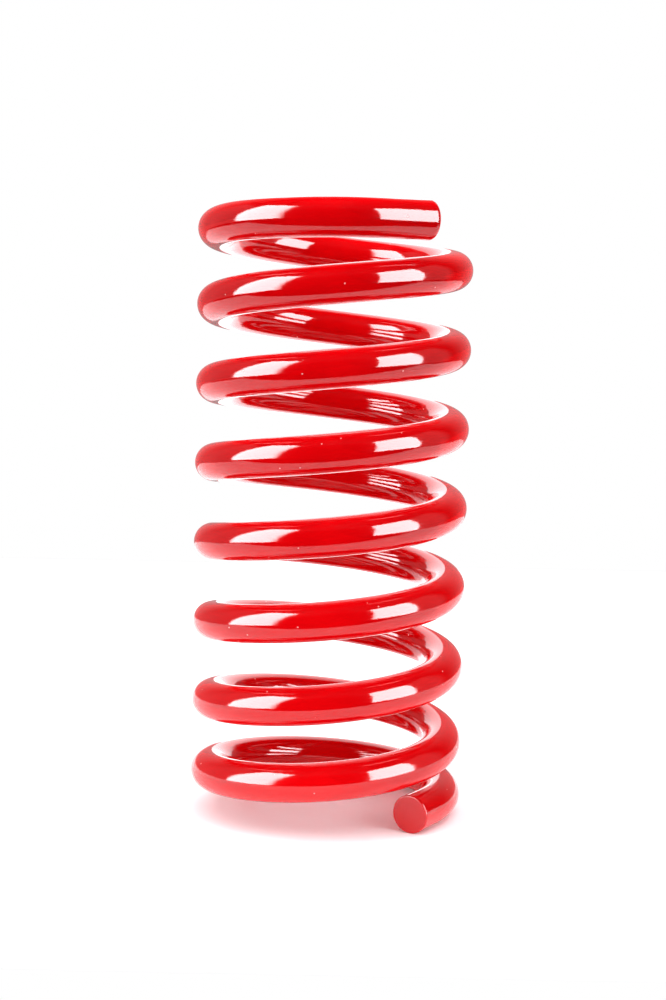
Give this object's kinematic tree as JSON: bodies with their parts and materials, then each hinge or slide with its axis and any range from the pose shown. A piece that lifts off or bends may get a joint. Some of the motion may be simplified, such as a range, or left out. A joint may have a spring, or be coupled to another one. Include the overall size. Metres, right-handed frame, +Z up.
{
  "type": "coil spring",
  "caption": "Helical compression spring for a car suspension: round steel bar, red gloss coating, closed lower end, and a short straight bar end at the foot and at the top.",
  "frame": {"origin": "foot of the spring, on the coil's axis: centre of the bounding box's bottom face", "axes": "+Z up along the coil's axis, -Y the front: the lower bar end is cut at the front right, and the bar climbs counter-clockwise seen from above"},
  "size_m": [0.116, 0.116, 0.2584],
  "materials": {
    "red_powder_coat": "glossy powder coat"
  },
  "bodies": {
    "bottom_end": {"bottom_end_coil": "red_powder_coat"},
    "turn_1_front": {"coil_1_front": "red_powder_coat"},
    "turn_2_back": {"coil_2_back": "red_powder_coat"},
    "turn_2_front": {"coil_2_front": "red_powder_coat"},
    "turn_3_back": {"coil_3_back": "red_powder_coat"},
    "turn_3_front": {"coil_3_front": "red_powder_coat"},
    "turn_4_back": {"coil_4_back": "red_powder_coat"},
    "turn_4_front": {"coil_4_front": "red_powder_coat"},
    "turn_5_back": {"coil_5_back": "red_powder_coat"},
    "turn_5_front": {"coil_5_front": "red_powder_coat"},
    "turn_6_back": {"coil_6_back": "red_powder_coat"},
    "turn_6_front": {"coil_6_front": "red_powder_coat"},
    "turn_7_back": {"coil_7_back": "red_powder_coat"},
    "turn_7_front": {"coil_7_front": "red_powder_coat"},
    "turn_8_back": {"coil_8_back": "red_powder_coat"},
    "top_end": {"top_end_coil": "red_powder_coat"}
  },
  "joints": [
    {"name": "turn_1_front_travel", "type": "slide", "parent": "bottom_end", "child": "turn_1_front", "axis": [0, 0, -1], "range_m": [0, 0.0028], "stiffness_N_per_m": 1340000},
    {"name": "turn_2_back_travel", "type": "slide", "parent": "turn_1_front", "child": "turn_2_back", "axis": [0, 0, -1], "range_m": [0, 0.0034], "stiffness_N_per_m": 1340000},
    {"name": "turn_2_front_travel", "type": "slide", "parent": "turn_2_back", "child": "turn_2_front", "axis": [0, 0, -1], "range_m": [0, 0.008], "stiffness_N_per_m": 1340000},
    {"name": "turn_3_back_travel", "type": "slide", "parent": "turn_2_front", "child": "turn_3_back", "axis": [0, 0, -1], "range_m": [0, 0.008], "stiffness_N_per_m": 1340000},
    {"name": "turn_3_front_travel", "type": "slide", "parent": "turn_3_back", "child": "turn_3_front", "axis": [0, 0, -1], "range_m": [0, 0.008], "stiffness_N_per_m": 1340000},
    {"name": "turn_4_back_travel", "type": "slide", "parent": "turn_3_front", "child": "turn_4_back", "axis": [0, 0, -1], "range_m": [0, 0.008], "stiffness_N_per_m": 1340000},
    {"name": "turn_4_front_travel", "type": "slide", "parent": "turn_4_back", "child": "turn_4_front", "axis": [0, 0, -1], "range_m": [0, 0.008], "stiffness_N_per_m": 1340000},
    {"name": "turn_5_back_travel", "type": "slide", "parent": "turn_4_front", "child": "turn_5_back", "axis": [0, 0, -1], "range_m": [0, 0.008], "stiffness_N_per_m": 1340000},
    {"name": "turn_5_front_travel", "type": "slide", "parent": "turn_5_back", "child": "turn_5_front", "axis": [0, 0, -1], "range_m": [0, 0.008], "stiffness_N_per_m": 1340000},
    {"name": "turn_6_back_travel", "type": "slide", "parent": "turn_5_front", "child": "turn_6_back", "axis": [0, 0, -1], "range_m": [0, 0.008], "stiffness_N_per_m": 1340000},
    {"name": "turn_6_front_travel", "type": "slide", "parent": "turn_6_back", "child": "turn_6_front", "axis": [0, 0, -1], "range_m": [0, 0.008], "stiffness_N_per_m": 1340000},
    {"name": "turn_7_back_travel", "type": "slide", "parent": "turn_6_front", "child": "turn_7_back", "axis": [0, 0, -1], "range_m": [0, 0.008], "stiffness_N_per_m": 1340000},
    {"name": "turn_7_front_travel", "type": "slide", "parent": "turn_7_back", "child": "turn_7_front", "axis": [0, 0, -1], "range_m": [0, 0.008], "stiffness_N_per_m": 1340000},
    {"name": "turn_8_back_travel", "type": "slide", "parent": "turn_7_front", "child": "turn_8_back", "axis": [0, 0, -1], "range_m": [0, 0.0036], "stiffness_N_per_m": 1340000},
    {"name": "top_end_travel", "type": "slide", "parent": "turn_8_back", "child": "top_end", "axis": [0, 0, -1], "range_m": [0, 0.0014], "stiffness_N_per_m": 1340000}
  ],
  "couplings": [
    {"joint": "turn_1_front_travel", "follows": "turn_5_back_travel", "ratio": 0.35},
    {"joint": "turn_2_back_travel", "follows": "turn_5_back_travel", "ratio": 0.425},
    {"joint": "turn_2_front_travel", "follows": "turn_5_back_travel", "ratio": 1},
    {"joint": "turn_3_back_travel", "follows": "turn_5_back_travel", "ratio": 1},
    {"joint": "turn_3_front_travel", "follows": "turn_5_back_travel", "ratio": 1},
    {"joint": "turn_4_back_travel", "follows": "turn_5_back_travel", "ratio": 1},
    {"joint": "turn_4_front_travel", "follows": "turn_5_back_travel", "ratio": 1},
    {"joint": "turn_5_front_travel", "follows": "turn_5_back_travel", "ratio": 1},
    {"joint": "turn_6_back_travel", "follows": "turn_5_back_travel", "ratio": 1},
    {"joint": "turn_6_front_travel", "follows": "turn_5_back_travel", "ratio": 1},
    {"joint": "turn_7_back_travel", "follows": "turn_5_back_travel", "ratio": 1},
    {"joint": "turn_7_front_travel", "follows": "turn_5_back_travel", "ratio": 1},
    {"joint": "turn_8_back_travel", "follows": "turn_5_back_travel", "ratio": 0.45},
    {"joint": "top_end_travel", "follows": "turn_5_back_travel", "ratio": 0.175}
  ]
}
